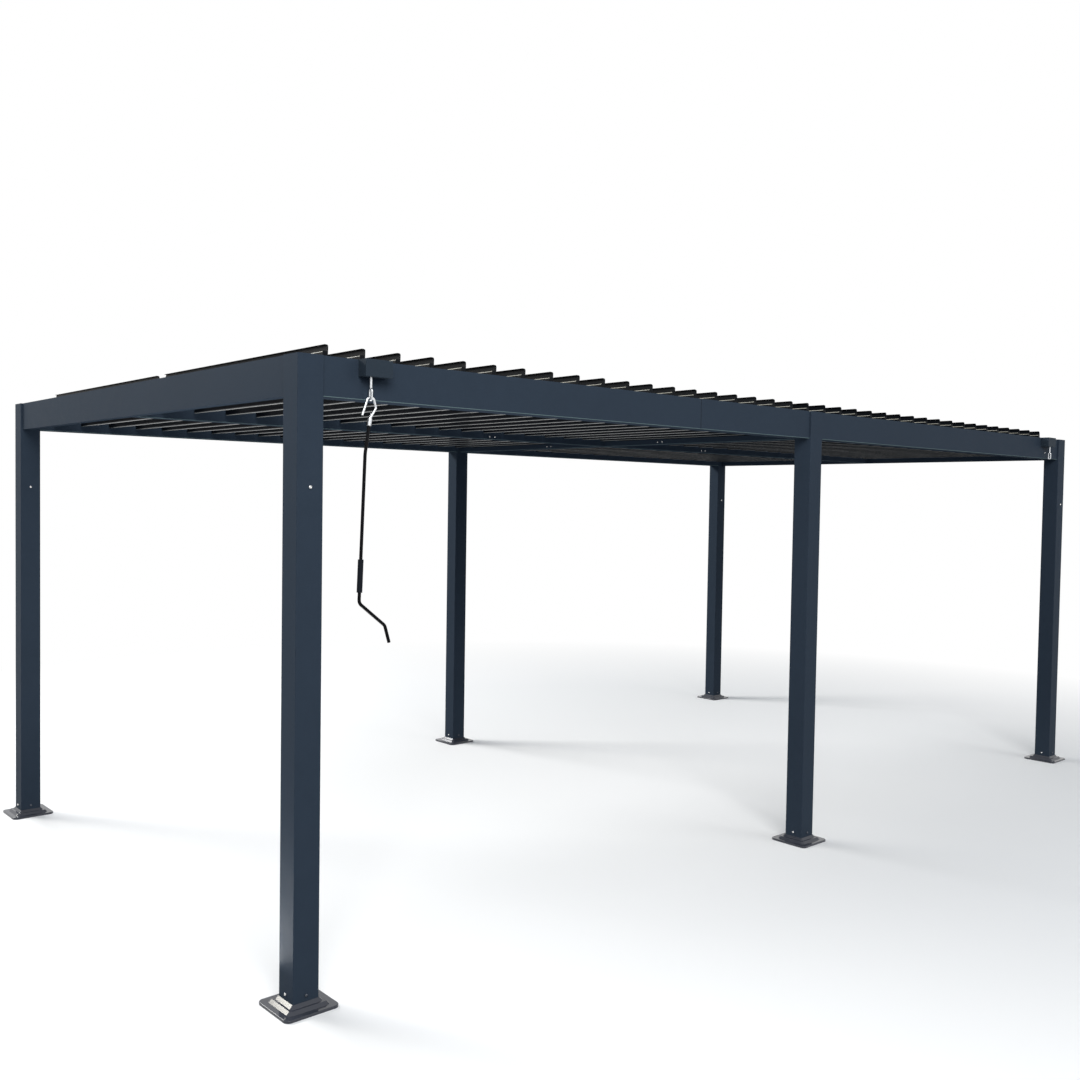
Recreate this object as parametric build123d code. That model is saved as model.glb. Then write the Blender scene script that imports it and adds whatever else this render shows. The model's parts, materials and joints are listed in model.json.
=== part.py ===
from build123d import *
import os
from math import cos, sin, radians

# Free-standing pergola, 6 by 3 metres, whose flat roof is two bays of upright turning louvres.
# The origin is on the ground at the middle of the plan, +X along the long side, the front at -Y.
# Each sub-part is written to parts/NODE.step in millimetres.

# Frame
LENGTH = 6000.0
WIDTH = 3100.0
HEIGHT = 2250.0
POST = 100.0
POST_WALL = 2.0
POST_CORNER = 3.0
CAP_PLATE = 3.0

# Perimeter beams, a closed box with an open gutter on its inner side along the long sides
BEAM_DEPTH = 140.0
BEAM_BOX = 40.0
BEAM_WALL = 2.5
BEAM_SETBACK = 10.0
GUTTER_RIM_DROP = 12.0
FRONT_SEAM_FROM_POST = 1990.0

# Beams inside the roof
SPINE_WIDTH = 50.0
SPINE_TOP_DROP = 20.0
CROSS_WIDTH = 50.0
CROSS_DEPTH = 30.0

# Louvres
LOUVRES_PER_BAY = 19
ROOF_END_MARGIN = 83.5
PIVOT_DROP = 32.0
OPEN_LEFT_BAY = 92.0
OPEN_RIGHT_BAY = 85.0
SKIN = 1.6
PLATE_TO_RISER = 62.0
LOUVRE_OVERLAP = 10.5
GUTTER_LIP = 11.0
GUTTER_BEND = 6.0
FOLD_BEND = 2.5
STEP_UP = 18.0
FLANGE = 26.0
DRIP_LIP = 10.0
FLANGE_CORNER = 12.0
BLADE_END_GAP = 14.0
END_CAP = 4.0
END_CAP_MARGIN = 1.0
END_CAP_OFF_GUTTER = 24.0
PIN_RADIUS = 4.0
SEAT = 0.3

# Link bars that turn the louvres of a bay together
ARM = 40.0
ARM_ANGLE_CLOSED = -35.0
LINK_THICK = 4.0
LINK_HEIGHT = 14.0
LINK_PIN_RADIUS = 3.0
LINK_PIN_CLEARANCE = 0.08
LINK_OFF_BEAM = 5.0
LINK_EYE_RADIUS = 6.0
PIVOT_EYE_RADIUS = 8.0

# Base covers, a moulded square with two bevelled steps up to the post
COVER_FOOT = 210.0
COVER_CORNER = 22.0
COVER_EDGE = 10.0
COVER_EDGE_ROUND = 2.0
LOWER_STEP = 164.0
LOWER_STEP_CORNER = 20.0
UPPER_STEP = 126.0
UPPER_STEP_CORNER = 14.0
STEP_RISE = 11.0
STEP_TAPER = 45.0
COVER_GAP = 0.3

# Gearboxes on the front beam
GEARBOX_LENGTH = 112.0
GEARBOX_OUT = 50.0
GEARBOX_HEIGHT = 60.0
GEARBOX_FROM_END = 298.0
GEARBOX_CORNER = 2.0

# Drive eye under each gearbox, a long loop on a round shank
EYE_FROM_END = 278.0
EYE_OFF_BEAM = 25.0
EYE_SHANK_RADIUS = 5.0
EYE_SHANK_LENGTH = 38.0
EYE_WIRE = 3.5
EYE_LOOP_WIDTH = 22.0
EYE_LOOP_HEIGHT = 46.0
EYE_LOOP_BEND = 7.0

# Crank hung in the left eye, its places given from the bar of the eye's loop
HOOK_WIRE = 4.0
HOOK_CLEARANCE = 0.4
HOOK_TIP = (-34.0, -54.0)
HOOK_SHOULDER = 12.0
HOOK_BEND = 9.6
HOOK_KNEE = (22.0, -26.0)
ROD_TOP = (-2.0, -64.0)
ROD_SET = (-21.0, -188.0)
ROD_SET_BEND = 144.0
ROD_ELBOW = (-40.0, -712.0)
HANDLE_ELBOW = (68.0, -797.0)
HANDLE_TIP = (87.0, -859.0)
ROD_RADIUS = 6.0
SOCKET_RADIUS = 7.5
SOCKET_LENGTH = 26.0
GRIP_RADIUS = 10.0
GRIP_FROM_TOP = 495.0
GRIP_LENGTH = 116.0
HANDLE_BEND = 24.0

half_length = LENGTH / 2
half_width = WIDTH / 2
pivot_z = HEIGHT - PIVOT_DROP
beam_bottom = HEIGHT - BEAM_DEPTH
beam_face = half_width - BEAM_SETBACK
gutter_face = half_width - POST
louvre_count = 2 * LOUVRES_PER_BAY
louvre_pitch = (LENGTH - 2 * ROOF_END_MARGIN) / louvre_count
plate_to_gutter = louvre_pitch + LOUVRE_OVERLAP - PLATE_TO_RISER - FLANGE
blade_outer_end = gutter_face - BLADE_END_GAP
blade_inner_end = SPINE_WIDTH / 2 + BLADE_END_GAP

post_x = [-half_length + POST / 2, 0.0, half_length - POST / 2]
post_y = half_width - POST / 2


def write(shape, node):
    export_step(shape, "parts/" + node + ".step")


def block(x0, x1, y0, y1, z0, z1):
    """A plain block between two corners."""
    return Pos((x0 + x1) / 2, (y0 + y1) / 2, (z0 + z1) / 2) * Box(x1 - x0, y1 - y0, z1 - z0)


def post(x, y):
    """Square tube with softened corners, open at its foot, closed by a cap at its top."""
    outer = RectangleRounded(POST, POST, POST_CORNER)
    inner = Rectangle(POST - 2 * POST_WALL, POST - 2 * POST_WALL)
    return Pos(x, y, 0) * extrude(outer - inner, HEIGHT - CAP_PLATE)


def post_cap(x, y):
    plate = extrude(RectangleRounded(POST, POST, POST_CORNER), CAP_PLATE)
    return Pos(x, y, HEIGHT - CAP_PLATE) * plate


def base_cover(x, y):
    """Flat flange with round corners and two bevelled steps, round the foot of a post."""
    flange = extrude(RectangleRounded(COVER_FOOT, COVER_FOOT, COVER_CORNER), COVER_EDGE)
    flange = fillet(flange.edges().group_by(Axis.Z)[-1], COVER_EDGE_ROUND)
    lower = RectangleRounded(LOWER_STEP, LOWER_STEP, LOWER_STEP_CORNER)
    upper = RectangleRounded(UPPER_STEP, UPPER_STEP, UPPER_STEP_CORNER)
    cover = flange + Pos(0, 0, COVER_EDGE) * extrude(lower, STEP_RISE, taper=STEP_TAPER)
    cover += Pos(0, 0, COVER_EDGE + STEP_RISE) * extrude(upper, STEP_RISE, taper=STEP_TAPER)
    hole = POST + 2 * COVER_GAP
    return Pos(x, y, 0) * (cover - Box(hole, hole, POST))


def long_beam(x0, x1, side):
    """Front or back beam: a closed box, and a gutter whose inner wall carries the louvre pins."""
    length = x1 - x0
    outside = gutter_face + POST - BEAM_SETBACK
    box_inner = outside - BEAM_BOX
    box = Pos(outside - BEAM_BOX / 2, HEIGHT - BEAM_DEPTH / 2) * Rectangle(BEAM_BOX, BEAM_DEPTH)
    hollow = Pos(outside - BEAM_BOX / 2, HEIGHT - BEAM_DEPTH / 2) * Rectangle(
        BEAM_BOX - 2 * BEAM_WALL, BEAM_DEPTH - 2 * BEAM_WALL)
    gutter_width = box_inner - gutter_face
    floor = Pos(gutter_face + gutter_width / 2, beam_bottom + BEAM_WALL / 2) * Rectangle(
        gutter_width, BEAM_WALL)
    rim_height = BEAM_DEPTH - GUTTER_RIM_DROP
    rim = Pos(gutter_face + BEAM_WALL / 2, beam_bottom + rim_height / 2) * Rectangle(
        BEAM_WALL, rim_height)
    section = box - hollow + floor + rim
    beam = extrude(Plane.YZ * section, length)
    if side < 0:
        beam = beam.mirror(Plane.XZ)
    return Pos(x0, 0, 0) * beam


def end_beam(side):
    """Plain box beam between the two corner posts of one end."""
    section = Rectangle(BEAM_BOX, BEAM_DEPTH) - Rectangle(
        BEAM_BOX - 2 * BEAM_WALL, BEAM_DEPTH - 2 * BEAM_WALL)
    span = WIDTH - 2 * POST
    beam = extrude(Plane.XZ * section, span / 2, both=True)
    middle = half_length - BEAM_SETBACK - BEAM_BOX / 2
    return Pos(side * middle, 0, HEIGHT - BEAM_DEPTH / 2) * beam


def spine_beam():
    """Box beam along the middle of the roof, between the two end beams."""
    depth = BEAM_DEPTH - SPINE_TOP_DROP
    section = Rectangle(SPINE_WIDTH, depth) - Rectangle(
        SPINE_WIDTH - 2 * BEAM_WALL, depth - 2 * BEAM_WALL)
    span = LENGTH - 2 * (BEAM_SETBACK + BEAM_BOX)
    beam = extrude(Plane.YZ * section, span / 2, both=True)
    return Pos(0, 0, beam_bottom + depth / 2) * beam


def cross_beam(side):
    """Flat box from a middle post to the spine beam, low enough to clear the turning louvres."""
    section = Rectangle(CROSS_WIDTH, CROSS_DEPTH) - Rectangle(
        CROSS_WIDTH - 2 * BEAM_WALL, CROSS_DEPTH - 2 * BEAM_WALL)
    span = gutter_face - SPINE_WIDTH / 2
    beam = extrude(Plane.XZ * section, span / 2, both=True)
    middle = SPINE_WIDTH / 2 + span / 2
    return Pos(0, side * middle, beam_bottom + CROSS_DEPTH / 2) * beam


def blade_section():
    """Folded louvre section lying closed, its pivot at the origin and its rising edge at -X."""
    h = SKIN / 2
    right, riser, tip = plate_to_gutter, -PLATE_TO_RISER, -PLATE_TO_RISER - FLANGE
    lip_end = STEP_UP - DRIP_LIP
    below = [(right + h, GUTTER_LIP), (right + h, -h), (riser - h, -h), (riser - h, STEP_UP - h),
             (tip + h, STEP_UP - h), (tip + h, lip_end)]
    above = [(right - h, GUTTER_LIP), (right - h, h), (riser + h, h), (riser + h, STEP_UP + h),
             (tip - h, STEP_UP + h), (tip - h, lip_end)]
    wide, tight = FOLD_BEND + h, FOLD_BEND - h
    lower_skin = FilletPolyline(below, radius=[GUTTER_BEND + h, wide, tight, tight])
    upper_skin = FilletPolyline(above, radius=[GUTTER_BEND - h, tight, wide, wide])
    return make_face([lower_skin, upper_skin, Line(below[0], above[0]), Line(below[-1], above[-1])])


def cap_section():
    """Outline of the moulded plate that closes a louvre's end, clear of the next louvre's edge."""
    m = END_CAP_MARGIN + SKIN / 2
    right = plate_to_gutter - END_CAP_OFF_GUTTER
    riser = -PLATE_TO_RISER
    tip = riser - FLANGE - END_CAP_MARGIN
    points = [
        (right, -m), (right, m), (riser + FLANGE, STEP_UP + m), (tip, STEP_UP + m),
        (tip, STEP_UP - m), (riser - m, STEP_UP - m), (riser - m, -m),
    ]
    return make_face(Polyline(points, close=True))


def flange_corner(y, inward):
    """What a blade's end loses so that its flange has a round corner."""
    edge = -PLATE_TO_RISER - FLANGE - END_CAP_MARGIN - SKIN
    reach = FLANGE_CORNER
    corner = block(edge, edge + reach, min(y, y + inward * reach), max(y, y + inward * reach),
                   STEP_UP - DRIP_LIP - SKIN, STEP_UP + DRIP_LIP)
    rounding = Pos(edge + reach, y + inward * reach, STEP_UP) * Cylinder(reach, 3 * DRIP_LIP)
    return corner - rounding


def blade(y0, y1, pin_outer, pin_inner):
    """One louvre blade along Y with an end cap and a pivot pin at each end, lying closed."""
    closed = Plane((0, 0, 0), x_dir=(1, 0, 0), z_dir=(0, -1, 0))
    solid = extrude(Pos(0, y0 + END_CAP, 0) * (closed * blade_section()), -(y1 - y0 - 2 * END_CAP))
    solid += extrude(Pos(0, y0, 0) * (closed * cap_section()), -END_CAP)
    solid += extrude(Pos(0, y1 - END_CAP, 0) * (closed * cap_section()), -END_CAP)
    solid = solid - flange_corner(y0, 1) - flange_corner(y1, -1)
    solid += extrude(Pos(0, pin_outer, 0) * (closed * Circle(PIN_RADIUS)), -(y0 - pin_outer))
    solid += extrude(Pos(0, y1, 0) * (closed * Circle(PIN_RADIUS)), -(pin_inner - y1))
    return solid


def link_pin():
    """Pin on a louvre's front end cap that carries the link bar."""
    closed = Plane((0, 0, 0), x_dir=(1, 0, 0), z_dir=(0, -1, 0))
    a = radians(ARM_ANGLE_CLOSED)
    end = -gutter_face + LINK_OFF_BEAM
    pin = extrude(closed * Circle(LINK_PIN_RADIUS), -(-blade_outer_end - end))
    return Pos(ARM * cos(a), end, ARM * sin(a)) * pin


def arm_tab():
    """Tab that reaches from the end cap down to the link pin."""
    a = radians(ARM_ANGLE_CLOSED)
    closed = Plane((0, 0, 0), x_dir=(1, 0, 0), z_dir=(0, -1, 0))
    reach = (ARM * cos(a), ARM * sin(a))
    outline = make_hull([*(Pos(*reach) * Circle(LINK_EYE_RADIUS)).edges(),
                         *Circle(PIVOT_EYE_RADIUS).edges()])
    return Pos(0, -blade_outer_end, 0) * extrude(closed * outline, -END_CAP)


def louvre_x(index):
    return (index - (louvre_count - 1) / 2) * louvre_pitch


def rest_angle(index):
    return OPEN_LEFT_BAY if index < LOUVRES_PER_BAY else OPEN_RIGHT_BAY


def stand_open(shape, index):
    """Turn a closed louvre to its rest angle and put it on its pivot."""
    return Pos(louvre_x(index), 0, pivot_z) * (Rot(0, rest_angle(index), 0) * shape)


def link_bar(first):
    """Flat bar along the front of one bay, with a hole for each louvre's link pin."""
    a = radians(ARM_ANGLE_CLOSED - rest_angle(first))
    dx, dz = ARM * cos(a), ARM * sin(a)
    margin = LINK_HEIGHT / 2
    x0 = louvre_x(first) + dx - margin
    x1 = louvre_x(first + LOUVRES_PER_BAY - 1) + dx + margin
    y0 = -gutter_face + LINK_OFF_BEAM
    z = pivot_z + dz
    bar = block(x0, x1, y0, y0 + LINK_THICK, z - LINK_HEIGHT / 2, z + LINK_HEIGHT / 2)
    for i in range(LOUVRES_PER_BAY):
        hole = Cylinder(LINK_PIN_RADIUS + LINK_PIN_CLEARANCE, 3 * LINK_THICK)
        bar -= Pos(louvre_x(first + i) + dx, y0, z) * (Rot(90, 0, 0) * hole)
    return bar


gearbox_x = half_length - GEARBOX_FROM_END
eye_x = half_length - EYE_FROM_END
eye_y = -beam_face - EYE_OFF_BEAM
eye_top = HEIGHT - GEARBOX_HEIGHT - SEAT
loop_top = eye_top - EYE_SHANK_LENGTH
eye_z = loop_top - EYE_LOOP_HEIGHT + EYE_WIRE


def gearbox(side):
    """Closed housing on the outside of the front beam."""
    box = Box(GEARBOX_LENGTH, GEARBOX_OUT, GEARBOX_HEIGHT)
    box = fillet(box.edges().filter_by(Axis.Z), GEARBOX_CORNER)
    return Pos(side * gearbox_x, -beam_face - GEARBOX_OUT / 2, HEIGHT - GEARBOX_HEIGHT / 2) * box


def drive_eye(side):
    """Round shank under a gearbox that ends in a long loop for the crank's hook."""
    shank = Pos(0, 0, (eye_top + loop_top) / 2) * Cylinder(EYE_SHANK_RADIUS, EYE_SHANK_LENGTH)
    width, height = EYE_LOOP_WIDTH - 2 * EYE_WIRE, EYE_LOOP_HEIGHT - 2 * EYE_WIRE
    outline = RectangleRounded(width, height, EYE_LOOP_BEND)
    path = Pos(0, 0, loop_top - EYE_LOOP_HEIGHT / 2) * (Plane.YZ * outline)
    wire = path.face().outer_wire()
    loop = sweep(Plane(wire @ 0, z_dir=wire % 0) * Circle(EYE_WIRE), wire)
    neck = Pos(0, 0, loop_top - EYE_WIRE / 2) * Cylinder(EYE_SHANK_RADIUS, EYE_WIRE)
    return Pos(side * eye_x, eye_y, 0) * (shank + neck + loop)


def hang(shape):
    """Put a crank piece on the bar of the left eye's loop."""
    return Pos(-eye_x, eye_y, eye_z) * shape


def crank_path(points, radii):
    """Wire path in the upright plane of the crank, from points across and up."""
    return FilletPolyline([(x, 0, z) for x, z in points], radius=radii)


def along(path, radius):
    return sweep(Plane(path @ 0, z_dir=path % 0) * Circle(radius), path)


def crank_hook():
    """Open hook of round wire that hangs on the eye and ends in the socket on the rod."""
    arch = EYE_WIRE + HOOK_WIRE + HOOK_CLEARANCE
    points = [HOOK_TIP, (-HOOK_SHOULDER, arch), (HOOK_SHOULDER, arch), HOOK_KNEE, ROD_TOP]
    wire = along(crank_path(points, [HOOK_BEND, HOOK_BEND, HOOK_BEND]), HOOK_WIRE)
    down = Vector(ROD_SET[0] - ROD_TOP[0], 0, ROD_SET[1] - ROD_TOP[1]).normalized()
    socket = Plane((ROD_TOP[0], 0, ROD_TOP[1]), z_dir=down) * Circle(SOCKET_RADIUS)
    return hang(wire + extrude(socket, SOCKET_LENGTH))


def rod_line():
    points = [ROD_TOP, ROD_SET, ROD_ELBOW, HANDLE_ELBOW, HANDLE_TIP]
    return crank_path(points, [ROD_SET_BEND, HANDLE_BEND, HANDLE_BEND])


def crank_rod():
    """Long rod, the offset arm at its foot and the short end that the hand turns."""
    rod = along(rod_line(), ROD_RADIUS)
    down = Vector(ROD_SET[0] - ROD_TOP[0], 0, ROD_SET[1] - ROD_TOP[1]).normalized()
    socket = Plane((ROD_TOP[0], 0, ROD_TOP[1]), z_dir=down) * Circle(SOCKET_RADIUS + ROD_RADIUS)
    return hang(rod - extrude(socket, SOCKET_LENGTH, both=True))


def crank_grip():
    """Sleeve that the hand holds near the foot of the rod."""
    run = Vector(ROD_ELBOW[0] - ROD_SET[0], 0, ROD_ELBOW[1] - ROD_SET[1])
    down = run.normalized()
    top = Vector(ROD_SET[0], 0, ROD_SET[1]) + down * (GRIP_FROM_TOP - (ROD_TOP[1] - ROD_SET[1]))
    ring = Circle(GRIP_RADIUS) - Circle(ROD_RADIUS)
    return hang(extrude(Plane(top, z_dir=down) * ring, GRIP_LENGTH))


def main():
    os.makedirs("parts", exist_ok=True)
    front_posts = [post(x, -post_y) for x in post_x]
    back_posts = [post(x, post_y) for x in post_x]
    write(Compound(children=front_posts), "front_posts")
    write(Compound(children=back_posts), "back_posts")
    corners = [(x, y) for x in post_x for y in (-post_y, post_y)]
    write(Compound(children=[post_cap(x, y) for x, y in corners]), "post_caps")
    write(Compound(children=[base_cover(x, y) for x, y in corners]), "base_covers")

    left, middle = -half_length + POST, POST / 2
    seam = left + FRONT_SEAM_FROM_POST
    write(long_beam(left, seam, -1), "front_beam_left")
    write(long_beam(seam, -middle, -1), "front_beam_middle")
    write(long_beam(middle, -left, -1), "front_beam_right")
    write(long_beam(left, -middle, 1), "back_beam_left")
    write(long_beam(middle, -left, 1), "back_beam_right")
    write(end_beam(-1), "left_end_beam")
    write(end_beam(1), "right_end_beam")
    write(spine_beam(), "spine_beam")
    write(Compound(children=[cross_beam(-1), cross_beam(1)]), "cross_beams")

    outer_pin = -gutter_face + SEAT
    inner_pin = -SPINE_WIDTH / 2 - SEAT
    front_blade = blade(-blade_outer_end, -blade_inner_end, outer_pin, inner_pin)
    back_blade = front_blade.mirror(Plane.XZ)
    front_blade = front_blade + arm_tab() + link_pin()
    for i in range(louvre_count):
        pair = [stand_open(front_blade, i), stand_open(back_blade, i)]
        write(Compound(children=pair), "louvre_%02d" % (i + 1))
    write(link_bar(0), "link_bar_left")
    write(link_bar(LOUVRES_PER_BAY), "link_bar_right")

    write(Compound(children=[gearbox(-1), gearbox(1)]), "gearboxes")
    write(drive_eye(-1), "drive_eye_left")
    write(drive_eye(1), "drive_eye_right")
    write(crank_hook(), "crank_hook")
    write(crank_rod(), "crank_rod")
    write(crank_grip(), "crank_grip")


main()
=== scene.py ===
import json
from math import radians

import bmesh
import bpy
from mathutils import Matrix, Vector


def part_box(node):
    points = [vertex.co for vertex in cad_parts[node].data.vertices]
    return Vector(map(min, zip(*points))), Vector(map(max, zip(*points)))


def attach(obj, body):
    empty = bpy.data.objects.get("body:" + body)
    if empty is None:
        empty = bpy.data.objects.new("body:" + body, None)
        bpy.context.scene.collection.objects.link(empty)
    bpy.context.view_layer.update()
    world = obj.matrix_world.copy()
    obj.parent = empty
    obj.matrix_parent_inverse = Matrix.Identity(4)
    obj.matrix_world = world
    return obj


# Looks of a free-standing pergola with turning roof louvres: powder-coated frame, near-black
# louvres, moulded base covers, plated hook and eyes, and a black crank. Metres, Z up.

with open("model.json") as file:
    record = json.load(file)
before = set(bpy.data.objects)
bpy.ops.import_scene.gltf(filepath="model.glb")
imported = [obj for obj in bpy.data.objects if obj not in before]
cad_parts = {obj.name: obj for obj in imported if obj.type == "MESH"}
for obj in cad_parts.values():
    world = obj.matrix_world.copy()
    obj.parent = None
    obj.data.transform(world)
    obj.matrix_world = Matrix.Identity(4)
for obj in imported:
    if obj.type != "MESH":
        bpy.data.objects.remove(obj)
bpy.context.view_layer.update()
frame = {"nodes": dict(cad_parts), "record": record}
nodes = frame["nodes"]

# Posts and beams, as the CAD has them. BEAM_FACE is the long beams' outer face, SPINE_FACE the
# side of the spine and the cross beams, both from the middle.
POST = 0.100
POST_XS = [-2.95, 0.0, 2.95]
CORNER_XS = [-2.95, 2.95]
POST_YS = [-1.5, 1.5]
BEAM_FACE = 1.54
BEAM_DEPTH = 0.140
FRAME_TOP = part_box("post_caps")[1][2]
BEAM_BOTTOM = FRAME_TOP - BEAM_DEPTH
SPINE_FACE = 0.025
FRONT_SEAM_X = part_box("front_beam_left")[1][0]
# Beams that carry a painted highlight along their bottom edge
EDGE_HIGHLIGHT_BEAMS = ["front_beam_left", "front_beam_middle", "front_beam_right", "back_beam_left",
               "back_beam_right", "spine_beam", "cross_beams"]

# Screw heads. The head's height and the (inset, rise) steps of its top are in radii: shoulder,
# dome, rim of the recess, recess.
SCREW_SEGMENTS = 20
HEAD_HEIGHT = 0.55
HEAD_STEPS = [(0.16, 0.22), (0.24, 0.12), (0.18, 0.0), (0.05, -0.3)]
FOOT_SCREW_HEIGHT = 0.052
FOOT_SCREW_RADIUS = 0.0055
POST_SCREW_HEIGHT = 1.800
POST_SCREW_RADIUS = 0.006
SMALL_SCREW_RADIUS = 0.004
SMALL_SCREW_RISE = 0.015
SPINE_SCREW_XS = [-0.940, -0.902, 0.902, 0.940]
CROSS_SCREW_YS = [-0.506, -0.468, 0.468, 0.506]
END_SCREW_X = 2.703
END_SCREW_HEIGHT = 2.149
LEFT_AND_RIGHT = ((-1, 0), (1, 0))
FRONT_AND_BACK = ((0, -1), (0, 1))

# Bead in the front beam's seam
SEAM_WIDTH = 0.0024
SEAM_PROUD = 0.0006
SEAM_LENGTH = BEAM_DEPTH - 0.002
SEAM_TAPER = (0.5, 1.0, 0.99)
SEAM_ROUNDING = 0.00008

# Painted highlights: pale lines painted where a bend or an edge catches light; lowest and
# highest point at rest, and tone
FOLD_LINE = (2.2776, 2.2812)
FOLD_HIGHLIGHT = (0.36, 0.35, 0.30)
LIP_LINE = (2.1385, 2.1432)
LIP_HIGHLIGHT = (0.16, 0.16, 0.15)
BEAM_EDGE_LINE = (BEAM_BOTTOM - 0.001, BEAM_BOTTOM + 0.0026)
BEAM_EDGE_HIGHLIGHT = (0.12, 0.17, 0.175)

# Powder coat. The ranges are the noise values, or the heights of the face's normal, between
# which an effect comes in.
CLOUD_SCALE = 2.3
PATCH_SCALE = 19.0
FLECK_SCALE = 2400.0
FLECK_RANGE = (0.66, 0.74)
FLECK_COLOUR = (0.32, 0.36, 0.42, 1)
UPWARD_RANGE = (0.35, 0.95)
BENEATH_RANGE = (-0.9, -0.6)
DUST_PATCH_RANGE = (0.38, 0.66)
DUST_COVER = (0.25, 1.0)
DUST_COLOUR = (0.30, 0.29, 0.27, 1)
DUST_ROUGHNESS = 0.8
ROUGH_PATCH_RANGE = (0.3, 0.7)
ROUGH_SWING = (-0.03, 0.04)
PEEL_HEIGHT = 0.0004
CLEAR_COAT_ROUGHNESS = 0.12

# Plating
SCRATCH_STRETCH = (1.0, 1.0, 0.08)
SCRATCH_RANGE = (0.3, 0.7)
SCRATCH_STRENGTH = 0.12
SCRATCH_HEIGHT = 0.0002
STAIN_SCALE = 60.0
STAIN_RANGE = (0.35, 0.7)
STAIN_COVER = (0.0, 0.35)
STAIN_DULLNESS = 0.6

# Studio. The floor turns white between the two fade distances from the middle.
FLOOR_SIZE = 120.0
FLOOR_ROUGHNESS = 0.9
FLOOR_FADE = (3.6, 7.0)
FLOOR_SEEN = (0.92, 0.92, 0.92, 1)
FLOOR_UNSEEN = (0.14, 0.18, 0.23, 1)
SKY_COLOUR = (0.88, 0.94, 1.0, 1)
SKY_STRENGTH = 0.45
WHITE = (1, 1, 1, 1)
WARM_WHITE = (1.0, 0.97, 0.88)

CAMERA_PLACE = (-4.8231, -4.8302, 1.7627)
CAMERA_TURN = (87.986, -0.888, -41.632)
CAMERA_LENS = 36.34
CAMERA_SENSOR = 36.0
CAMERA_REACH = 200.0

# ShaderNodeMix has one set of sockets for each kind of data; these are the colour ones
MIX_FIRST, MIX_SECOND, MIX_RESULT = 6, 7, 2


# Modelling helpers

def start_clean():
    if bpy.context.object and bpy.context.object.mode != "OBJECT":
        bpy.ops.object.mode_set(mode="OBJECT")
    bpy.ops.object.select_all(action="DESELECT")


def pick(obj):
    start_clean()
    obj.select_set(True)
    bpy.context.view_layer.objects.active = obj


def settle(obj):
    """Put the object's place, turn and size into its mesh."""
    pick(obj)
    bpy.ops.object.transform_apply(location=True, rotation=True, scale=True)
    return obj


def name_piece(obj, name, material):
    """Give a finished piece its name and finish, and let it ride the frame."""
    obj.name = name
    obj.data.name = name
    obj.data.materials.clear()
    obj.data.materials.append(material)
    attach(obj, "frame")


def edit_faces(obj, keep):
    """Enter edit mode with only the faces that keep() accepts selected."""
    pick(obj)
    bpy.ops.object.mode_set(mode="EDIT")
    bpy.ops.mesh.select_mode(type="FACE")
    bpy.ops.mesh.select_all(action="DESELECT")
    mesh = bmesh.from_edit_mesh(obj.data)
    for face in mesh.faces:
        face.select = keep(face)
    bmesh.update_edit_mesh(obj.data)


def pan_screw(radius):
    """Pan-head screw with a round recess, its seat at z = 0 and its head up +Z."""
    start_clean()
    height = HEAD_HEIGHT * radius
    bpy.ops.mesh.primitive_cylinder_add(vertices=SCREW_SEGMENTS, radius=radius, depth=height,
                                        location=(0, 0, height / 2))
    head = bpy.context.object
    settle(head)
    edit_faces(head, lambda f: f.normal.z > 0.9)
    for inset, rise in HEAD_STEPS:
        bpy.ops.mesh.inset(thickness=inset * radius, depth=rise * radius)
    bpy.ops.object.mode_set(mode="OBJECT")
    return head


def copies(master, places):
    """One object with a copy of the master's mesh at each (point, outward direction)."""
    made = []
    for point, outward in places:
        one = master.copy()
        one.data = master.data.copy()
        bpy.context.collection.objects.link(one)
        one.rotation_mode = "QUATERNION"
        one.rotation_quaternion = Vector((0, 0, 1)).rotation_difference(Vector(outward))
        one.location = point
        made.append(settle(one))
    start_clean()
    for one in made:
        one.select_set(True)
    bpy.context.view_layer.objects.active = made[0]
    bpy.ops.object.join()
    return bpy.context.object


def discard(obj):
    bpy.data.objects.remove(obj, do_unlink=True)


# Node helpers

def feed(tree, socket, wanted):
    """Link a socket to another one, or set it to a number or colour."""
    if isinstance(wanted, bpy.types.NodeSocket):
        tree.links.new(wanted, socket)
    else:
        socket.default_value = wanted


def new_group(name, inputs, outputs):
    group = bpy.data.node_groups.new(name, "ShaderNodeTree")
    for label, kind, value in inputs:
        socket = group.interface.new_socket(name=label, in_out="INPUT", socket_type=kind)
        socket.default_value = value
    for label, kind in outputs:
        group.interface.new_socket(name=label, in_out="OUTPUT", socket_type=kind)
    entry = group.nodes.new("NodeGroupInput")
    leave = group.nodes.new("NodeGroupOutput")
    return group, entry, leave


def noise(tree, vector, scale, detail, roughness=0.5):
    node = tree.nodes.new("ShaderNodeTexNoise")
    node.inputs["Detail"].default_value = detail
    node.inputs["Roughness"].default_value = roughness
    feed(tree, node.inputs["Scale"], scale)
    tree.links.new(vector, node.inputs["Vector"])
    return node.outputs["Fac"]


def spread(tree, value, limits, results=(0.0, 1.0)):
    """The value mapped from the limits to the results, and held beyond them."""
    node = tree.nodes.new("ShaderNodeMapRange")
    node.inputs["From Min"].default_value, node.inputs["From Max"].default_value = limits
    node.inputs["To Min"].default_value, node.inputs["To Max"].default_value = results
    tree.links.new(value, node.inputs["Value"])
    return node.outputs["Result"]


def arithmetic(tree, kind, first, second):
    node = tree.nodes.new("ShaderNodeMath")
    node.operation = kind
    feed(tree, node.inputs[0], first)
    feed(tree, node.inputs[1], second)
    return node.outputs["Value"]


def mix_colour(tree, amount, first, second):
    node = tree.nodes.new("ShaderNodeMix")
    node.data_type = "RGBA"
    tree.links.new(amount, node.inputs["Factor"])
    feed(tree, node.inputs[MIX_FIRST], first)
    feed(tree, node.inputs[MIX_SECOND], second)
    return node.outputs[MIX_RESULT]


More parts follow.
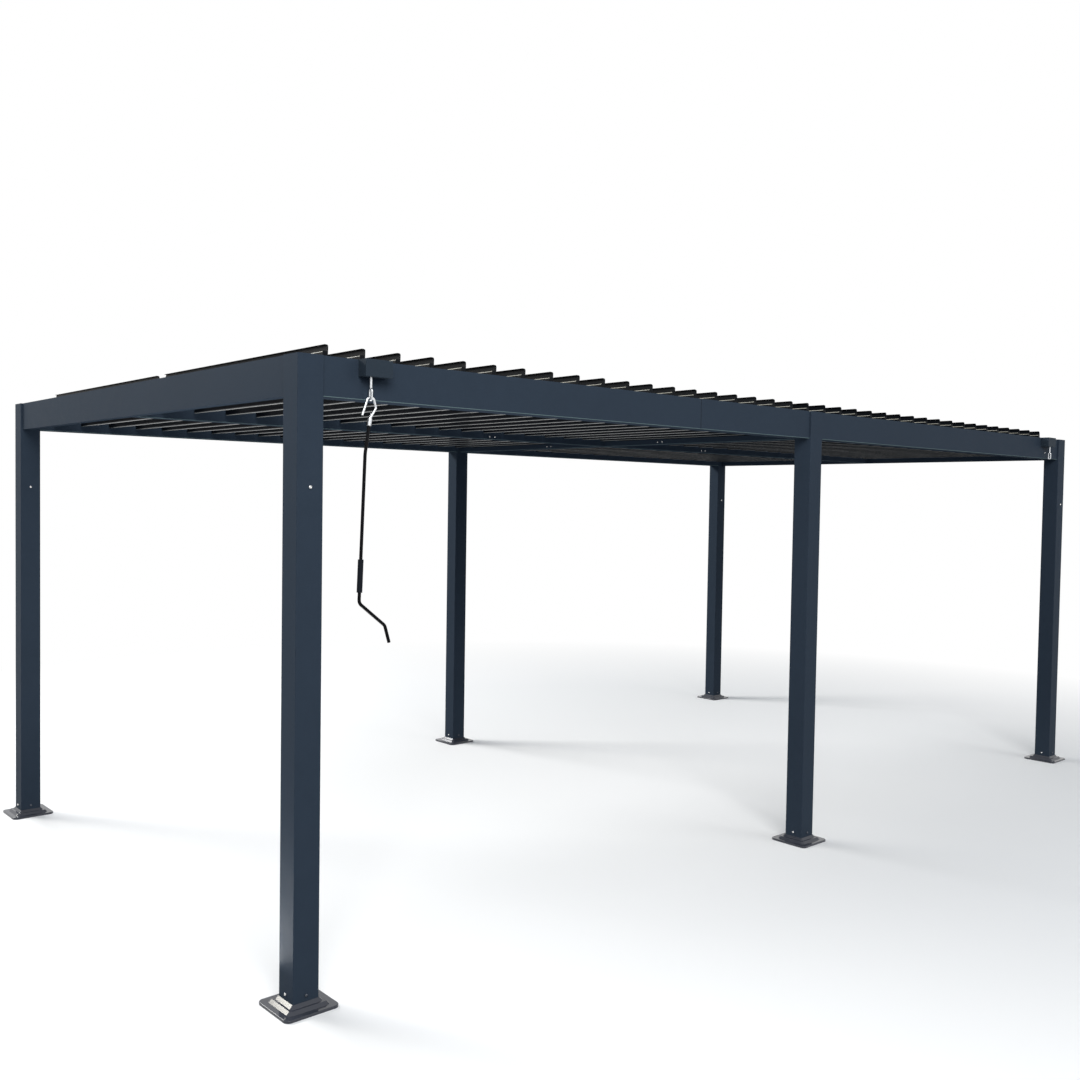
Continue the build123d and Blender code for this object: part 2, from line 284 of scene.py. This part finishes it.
def choose_shader(tree, seen, usual, instead, surface):
    """The usual shader, and the other one where seen is 1, put out on the surface socket."""
    choose = tree.nodes.new("ShaderNodeMixShader")
    for socket, source in zip(choose.inputs, (seen, usual, instead)):
        tree.links.new(source, socket)
    tree.links.new(choose.outputs[0], surface)


def new_material(name):
    material = bpy.data.materials.new(name)
    material.use_nodes = True
    shader = material.node_tree.nodes["Principled BSDF"]
    return material, material.node_tree, shader


def bump(tree, shader, height, strength, distance):
    node = tree.nodes.new("ShaderNodeBump")
    node.inputs["Strength"].default_value = strength
    node.inputs["Distance"].default_value = distance
    tree.links.new(height, node.inputs["Height"])
    tree.links.new(node.outputs["Normal"], shader.inputs["Normal"])


# Finishes

def powder_coat_group():
    """Baked powder coat: orange peel, sparse pale flecks, faint cloudiness and settled dust."""
    group, entry, leave = new_group(
        "powder_coat",
        [("Colour", "NodeSocketColor", (0.05, 0.06, 0.08, 1)),
         ("Cloud", "NodeSocketFloat", 0.08),
         ("Grain Scale", "NodeSocketFloat", 900.0),
         ("Fleck", "NodeSocketFloat", 0.25),
         ("Dust", "NodeSocketFloat", 0.12),
         ("Base Roughness", "NodeSocketFloat", 0.38),
         ("Under Roughness", "NodeSocketFloat", 0.0)],
        [("Colour", "NodeSocketColor"), ("Roughness", "NodeSocketFloat"),
         ("Height", "NodeSocketFloat")])
    links = group.links
    place = group.nodes.new("ShaderNodeTexCoord").outputs["Object"]
    cloud = noise(group, place, CLOUD_SCALE, 3.0)
    patches = noise(group, place, PATCH_SCALE, 4.0)
    grain = noise(group, place, entry.outputs["Grain Scale"], 2.0)
    fleck = noise(group, place, FLECK_SCALE, 0.0)

    cloud_sum = arithmetic(group, "ADD", cloud, patches)
    swing = arithmetic(group, "MULTIPLY", arithmetic(group, "SUBTRACT", cloud_sum, 1.0),
                       entry.outputs["Cloud"])
    tone = group.nodes.new("ShaderNodeVectorMath")
    tone.operation = "SCALE"
    links.new(entry.outputs["Colour"], tone.inputs[0])
    links.new(arithmetic(group, "ADD", swing, 1.0), tone.inputs["Scale"])

    bright = arithmetic(group, "MULTIPLY", spread(group, fleck, FLECK_RANGE),
                        entry.outputs["Fleck"])
    flecked = mix_colour(group, bright, tone.outputs["Vector"], FLECK_COLOUR)

    normal = group.nodes.new("ShaderNodeNewGeometry").outputs["Normal"]
    facing = group.nodes.new("ShaderNodeSeparateXYZ")
    links.new(normal, facing.inputs["Vector"])
    upward = spread(group, facing.outputs["Z"], UPWARD_RANGE)
    settled = spread(group, patches, DUST_PATCH_RANGE, DUST_COVER)
    dust = arithmetic(group, "MULTIPLY", arithmetic(group, "MULTIPLY", upward, settled),
                      entry.outputs["Dust"])
    links.new(mix_colour(group, dust, flecked, DUST_COLOUR), leave.inputs["Colour"])

    rough = arithmetic(group, "ADD", entry.outputs["Base Roughness"],
                       spread(group, patches, ROUGH_PATCH_RANGE, ROUGH_SWING))
    rough = arithmetic(group, "ADD", rough, arithmetic(group, "MULTIPLY", dust, DUST_ROUGHNESS))
    beneath = spread(group, facing.outputs["Z"], BENEATH_RANGE, (1.0, 0.0))
    under = arithmetic(group, "MULTIPLY", beneath, entry.outputs["Under Roughness"])
    links.new(arithmetic(group, "ADD", rough, under), leave.inputs["Roughness"])
    links.new(grain, leave.inputs["Height"])
    return group


powder_coat = powder_coat_group()


def coated(name, colour, rough, dust, fleck, specular, cloud=0.10, grain_scale=900.0, peel=0.25,
           clear_coat=0.0, under=0.0):
    """Powder coat or smooth moulding; under is the roughness added on faces that look down."""
    material, tree, shader = new_material(name)
    finish = tree.nodes.new("ShaderNodeGroup")
    finish.node_tree = powder_coat
    settings = {"Colour": (*colour, 1), "Cloud": cloud, "Grain Scale": grain_scale,
                "Fleck": fleck, "Dust": dust, "Base Roughness": rough, "Under Roughness": under}
    for label, value in settings.items():
        finish.inputs[label].default_value = value
    tree.links.new(finish.outputs["Colour"], shader.inputs["Base Color"])
    tree.links.new(finish.outputs["Roughness"], shader.inputs["Roughness"])
    shader.inputs["Specular IOR Level"].default_value = specular
    shader.inputs["Coat Weight"].default_value = clear_coat
    shader.inputs["Coat Roughness"].default_value = CLEAR_COAT_ROUGHNESS
    bump(tree, shader, finish.outputs["Height"], peel, PEEL_HEIGHT)
    return material


def plated(name, colour, rough, scratch_scale):
    """Plated metal, bright or dark, with fine drawn scratches and dull stains."""
    material, tree, shader = new_material(name)
    place = tree.nodes.new("ShaderNodeTexCoord").outputs["Object"]
    stretch = tree.nodes.new("ShaderNodeMapping")
    stretch.inputs["Scale"].default_value = SCRATCH_STRETCH
    tree.links.new(place, stretch.inputs["Vector"])
    scratches = noise(tree, stretch.outputs["Vector"], scratch_scale, 4.0, 0.7)
    stains = noise(tree, place, STAIN_SCALE, 3.0)
    dull = tuple(STAIN_DULLNESS * c for c in colour)
    tone = mix_colour(tree, spread(tree, stains, STAIN_RANGE, STAIN_COVER), (*colour, 1),
                      (*dull, 1))
    tree.links.new(tone, shader.inputs["Base Color"])
    tree.links.new(spread(tree, scratches, SCRATCH_RANGE, (rough - 0.06, rough + 0.10)),
                   shader.inputs["Roughness"])
    shader.inputs["Metallic"].default_value = 1.0
    bump(tree, shader, scratches, SCRATCH_STRENGTH, SCRATCH_HEIGHT)
    return material


def painted_highlight_line(material, line, tone, faces):
    """Painted highlight: pale line painted between two heights, on the faces that faces() picks
    by their normal.
    """
    tree = material.node_tree
    shader = tree.nodes["Principled BSDF"]
    coordinates = tree.nodes.new("ShaderNodeTexCoord")
    place = tree.nodes.new("ShaderNodeSeparateXYZ")
    facing = tree.nodes.new("ShaderNodeSeparateXYZ")
    tree.links.new(coordinates.outputs["Object"], place.inputs["Vector"])
    tree.links.new(coordinates.outputs["Normal"], facing.inputs["Vector"])
    low, high = line
    above = arithmetic(tree, "GREATER_THAN", place.outputs["Z"], low)
    below = arithmetic(tree, "LESS_THAN", place.outputs["Z"], high)
    between = arithmetic(tree, "MULTIPLY", above, below)
    # Mask of the painted highlight: between the two heights and on the picked faces
    painted_highlight_mask = arithmetic(tree, "MULTIPLY", between, faces(tree, facing))
    colour = shader.inputs["Base Color"].links[0].from_socket
    tree.links.new(mix_colour(tree, painted_highlight_mask, colour, (*tone, 1)), shader.inputs["Base Color"])


def left_faces(tree, facing):
    return arithmetic(tree, "LESS_THAN", facing.outputs["X"], -0.3)


def hanging_faces(tree, facing):
    return arithmetic(tree, "LESS_THAN", facing.outputs["Z"], 0.2)


def upright_faces(tree, facing):
    return arithmetic(tree, "GREATER_THAN", facing.outputs["Z"], -0.8)


def frame_coat(name):
    return coated(name, (0.030, 0.043, 0.062), rough=0.50, dust=0.05, fleck=0.10, specular=0.03,
                  cloud=0.14, under=0.45)


frame_paint = frame_coat("frame_paint")
# Copy of the frame coat for the beams, with a painted highlight along their bottom edge
beam_paint_edge_highlight = frame_coat("beam_paint_edge_highlight")
painted_highlight_line(beam_paint_edge_highlight, BEAM_EDGE_LINE, BEAM_EDGE_HIGHLIGHT, upright_faces)
louvre_paint = coated("louvre_paint", (0.003, 0.004, 0.006), rough=0.36, dust=0.02, fleck=0.03,
                      specular=0.06, cloud=0.14, under=-0.28)
# Painted highlight along the louvres' fold, where the bend catches light
painted_highlight_line(louvre_paint, FOLD_LINE, FOLD_HIGHLIGHT, left_faces)
# Painted highlight along the louvres' lower lip, where it catches light
painted_highlight_line(louvre_paint, LIP_LINE, LIP_HIGHLIGHT, hanging_faces)
cover_shell = coated("cover_shell", (0.036, 0.040, 0.053), rough=0.14, dust=0.02, fleck=0.0,
                     specular=0.3, cloud=0.08, grain_scale=500.0, peel=0.06, clear_coat=0.2)
housing_paint = coated("housing_paint", (0.026, 0.037, 0.050), rough=0.46, dust=0.04, fleck=0.1,
                       specular=0.05)
crank_paint = coated("crank_paint", (0.003, 0.003, 0.004), rough=0.34, dust=0.0, fleck=0.02,
                     specular=0.06)
grip_sleeve = coated("grip_sleeve", (0.008, 0.010, 0.014), rough=0.55, dust=0.0, fleck=0.0,
                     specular=0.07, grain_scale=350.0, peel=0.5)
bright_steel = plated("bright_steel", (0.66, 0.68, 0.70), rough=0.24, scratch_scale=700.0)
screw_steel = plated("screw_steel", (0.70, 0.70, 0.70), rough=0.22, scratch_scale=1200.0)
# Darker copy of the screw plating, as painted shade on the foot screws that face front and back
screw_steel_painted_shade = plated("screw_steel_painted_shade", (0.10, 0.11, 0.13), rough=0.38, scratch_scale=1200.0)

SLOT_MATERIALS = {
    "frame_paint": frame_paint,
    "louvre_paint": louvre_paint,
    "cover_shell": cover_shell,
    "housing": housing_paint,
    "bright_steel": bright_steel,
    "crank_paint": crank_paint,
    "grip": grip_sleeve,
}
for part in frame["record"]["subparts"]:
    obj = nodes[part["node"]]
    obj.data.materials.clear()
    obj.data.materials.append(SLOT_MATERIALS[part["material_slot"]])
# The beams take the copy with the painted highlight along their bottom edge
for name in EDGE_HIGHLIGHT_BEAMS:
    nodes[name].data.materials[0] = beam_paint_edge_highlight


# Screws

def post_sides(post_xs, height, directions):
    """Points on the posts' faces at one height, with the way each face looks."""
    return [((x + dx * POST / 2, y + dy * POST / 2, height), (dx, dy, 0))
            for x in post_xs for y in POST_YS for dx, dy in directions]


foot_screw = pan_screw(FOOT_SCREW_RADIUS)
side_screws = copies(foot_screw, post_sides(POST_XS, FOOT_SCREW_HEIGHT, LEFT_AND_RIGHT))
name_piece(side_screws, "foot_screws_side", screw_steel)
# The same foot screws on the front and back faces, in the darker plating as painted shade
front_screws = copies(foot_screw, post_sides(POST_XS, FOOT_SCREW_HEIGHT, FRONT_AND_BACK))
name_piece(front_screws, "foot_screws_front", screw_steel_painted_shade)
discard(foot_screw)

post_screw = pan_screw(POST_SCREW_RADIUS)
post_screws = copies(post_screw, post_sides(CORNER_XS, POST_SCREW_HEIGHT, FRONT_AND_BACK))
name_piece(post_screws, "post_screws", screw_steel)
discard(post_screw)

small_screw = pan_screw(SMALL_SCREW_RADIUS)
small_screw_height = BEAM_BOTTOM + SMALL_SCREW_RISE
beam_places = [((x, side * SPINE_FACE, small_screw_height), (0, side, 0))
               for x in SPINE_SCREW_XS for side in (-1, 1)]
beam_places += [((side * SPINE_FACE, y, small_screw_height), (side, 0, 0))
                for y in CROSS_SCREW_YS for side in (-1, 1)]
beam_places += [((end * END_SCREW_X, side * BEAM_FACE, END_SCREW_HEIGHT), (0, side, 0))
                for side in (-1, 1) for end in (-1, 1)]
beam_screws = copies(small_screw, beam_places)
name_piece(beam_screws, "beam_screws", screw_steel)
discard(small_screw)


# Seam where two lengths of the front beam meet

def beam_seam():
    """Fine bead of sealant down the joint, with narrowed and rounded edges."""
    start_clean()
    bpy.ops.mesh.primitive_cube_add(size=1.0, location=(0, 0, 0))
    bead = bpy.context.object
    bead.scale = (SEAM_WIDTH, SEAM_PROUD, SEAM_LENGTH)
    settle(bead)
    edit_faces(bead, lambda f: f.normal.y < -0.9)
    bpy.ops.transform.resize(value=SEAM_TAPER, center_override=(0.0, 0.0, 0.0))
    bpy.ops.mesh.select_all(action="SELECT")
    bpy.ops.mesh.bevel(offset=SEAM_ROUNDING, segments=2)
    bpy.ops.object.mode_set(mode="OBJECT")
    bead.location = (FRONT_SEAM_X, -BEAM_FACE - SEAM_PROUD / 2, BEAM_BOTTOM + BEAM_DEPTH / 2)
    return settle(bead)


name_piece(beam_seam(), "front_beam_seam", crank_paint)


# Light, floor, sky and camera

def soft_light(name, place, target, size, power, colour=(1, 1, 1)):
    data = bpy.data.lights.new(name, "AREA")
    data.shape = "RECTANGLE"
    data.size, data.size_y = size
    data.energy = power
    data.color = colour
    lamp = bpy.data.objects.new(name, data)
    bpy.context.collection.objects.link(lamp)
    lamp.location = place
    aim = Vector(target) - Vector(place)
    lamp.rotation_euler = aim.to_track_quat("-Z", "Y").to_euler()
    lamp.visible_camera = False


def mirrored_rays(tree, paths):
    """1 for rays by which metal and glass see what is round them."""
    return arithmetic(tree, "MAXIMUM", paths.outputs["Is Glossy Ray"],
                      paths.outputs["Is Transmission Ray"])


def studio_floor():
    """Floor that keeps the shadow near the posts and is white farther out and in mirrors."""
    start_clean()
    bpy.ops.mesh.primitive_plane_add(size=FLOOR_SIZE, location=(0, 0, 0))
    floor = bpy.context.object
    floor.name = "studio_floor"
    material, tree, shader = new_material("studio_floor")
    shader.inputs["Roughness"].default_value = FLOOR_ROUGHNESS
    white = tree.nodes.new("ShaderNodeEmission")
    white.inputs["Color"].default_value = WHITE
    white.inputs["Strength"].default_value = 1.0
    paths = tree.nodes.new("ShaderNodeLightPath")
    away = tree.nodes.new("ShaderNodeVectorMath")
    away.operation = "LENGTH"
    tree.links.new(tree.nodes.new("ShaderNodeTexCoord").outputs["Object"], away.inputs[0])
    fade = spread(tree, away.outputs["Value"], FLOOR_FADE)
    faded = arithmetic(tree, "MULTIPLY", fade, paths.outputs["Is Camera Ray"])
    seen = arithmetic(tree, "MAXIMUM", faded, mirrored_rays(tree, paths))
    tree.links.new(mix_colour(tree, paths.outputs["Is Camera Ray"], FLOOR_UNSEEN, FLOOR_SEEN),
                   shader.inputs["Base Color"])
    choose_shader(tree, seen, shader.outputs[0], white.outputs[0],
                  tree.nodes["Material Output"].inputs["Surface"])
    floor.data.materials.append(material)
    return floor


def studio_sky():
    """Pale sky for light, and plain white for the camera and in mirrors."""
    world = bpy.data.worlds.new("studio")
    bpy.context.scene.world = world
    world.use_nodes = True
    tree = world.node_tree
    sky = tree.nodes["Background"]
    sky.inputs["Color"].default_value = SKY_COLOUR
    sky.inputs["Strength"].default_value = SKY_STRENGTH
    white = tree.nodes.new("ShaderNodeBackground")
    white.inputs["Color"].default_value = WHITE
    white.inputs["Strength"].default_value = 1.0
    paths = tree.nodes.new("ShaderNodeLightPath")
    seen = arithmetic(tree, "MAXIMUM", paths.outputs["Is Camera Ray"],
                      mirrored_rays(tree, paths))
    choose_shader(tree, seen, sky.outputs[0], white.outputs[0],
                  tree.nodes["World Output"].inputs["Surface"])


def studio_camera():
    data = bpy.data.cameras.new("camera")
    data.sensor_width = CAMERA_SENSOR
    data.lens = CAMERA_LENS
    data.clip_end = CAMERA_REACH
    camera = bpy.data.objects.new("camera", data)
    bpy.context.collection.objects.link(camera)
    camera.location = CAMERA_PLACE
    camera.rotation_euler = [radians(a) for a in CAMERA_TURN]
    bpy.context.scene.camera = camera


soft_light("key", place=(-5.5, -7.5, 6.0), target=(0, 0, 1.0), size=(5.0, 4.0), power=530)
soft_light("back_high", place=(-4.5, 8.5, 7.5), target=(-1.0, 0, 1.2), size=(6.0, 2.5),
           power=900)
soft_light("right_fill", place=(4.0, -9.0, 5.0), target=(0.5, 0, 1.0), size=(4.0, 4.0),
           power=120)
# Far light that the near base cover mirrors on its left side
soft_light("left_glint", place=(-11.3, 14.5, 10.0), target=(-2.95, -1.5, 0.03),
           size=(5.0, 2.6), power=900, colour=WARM_WHITE)
# Light thrown up at the louvres' lower lips, level so that none of it dips under the floor
soft_light("corner_bounce", place=(-2.75, -0.9, 0.12), target=(-2.75, -0.9, 2.1),
           size=(1.0, 1.0), power=30)

studio_floor()
studio_sky()
studio_camera()
bpy.context.scene.view_settings.view_transform = "Standard"
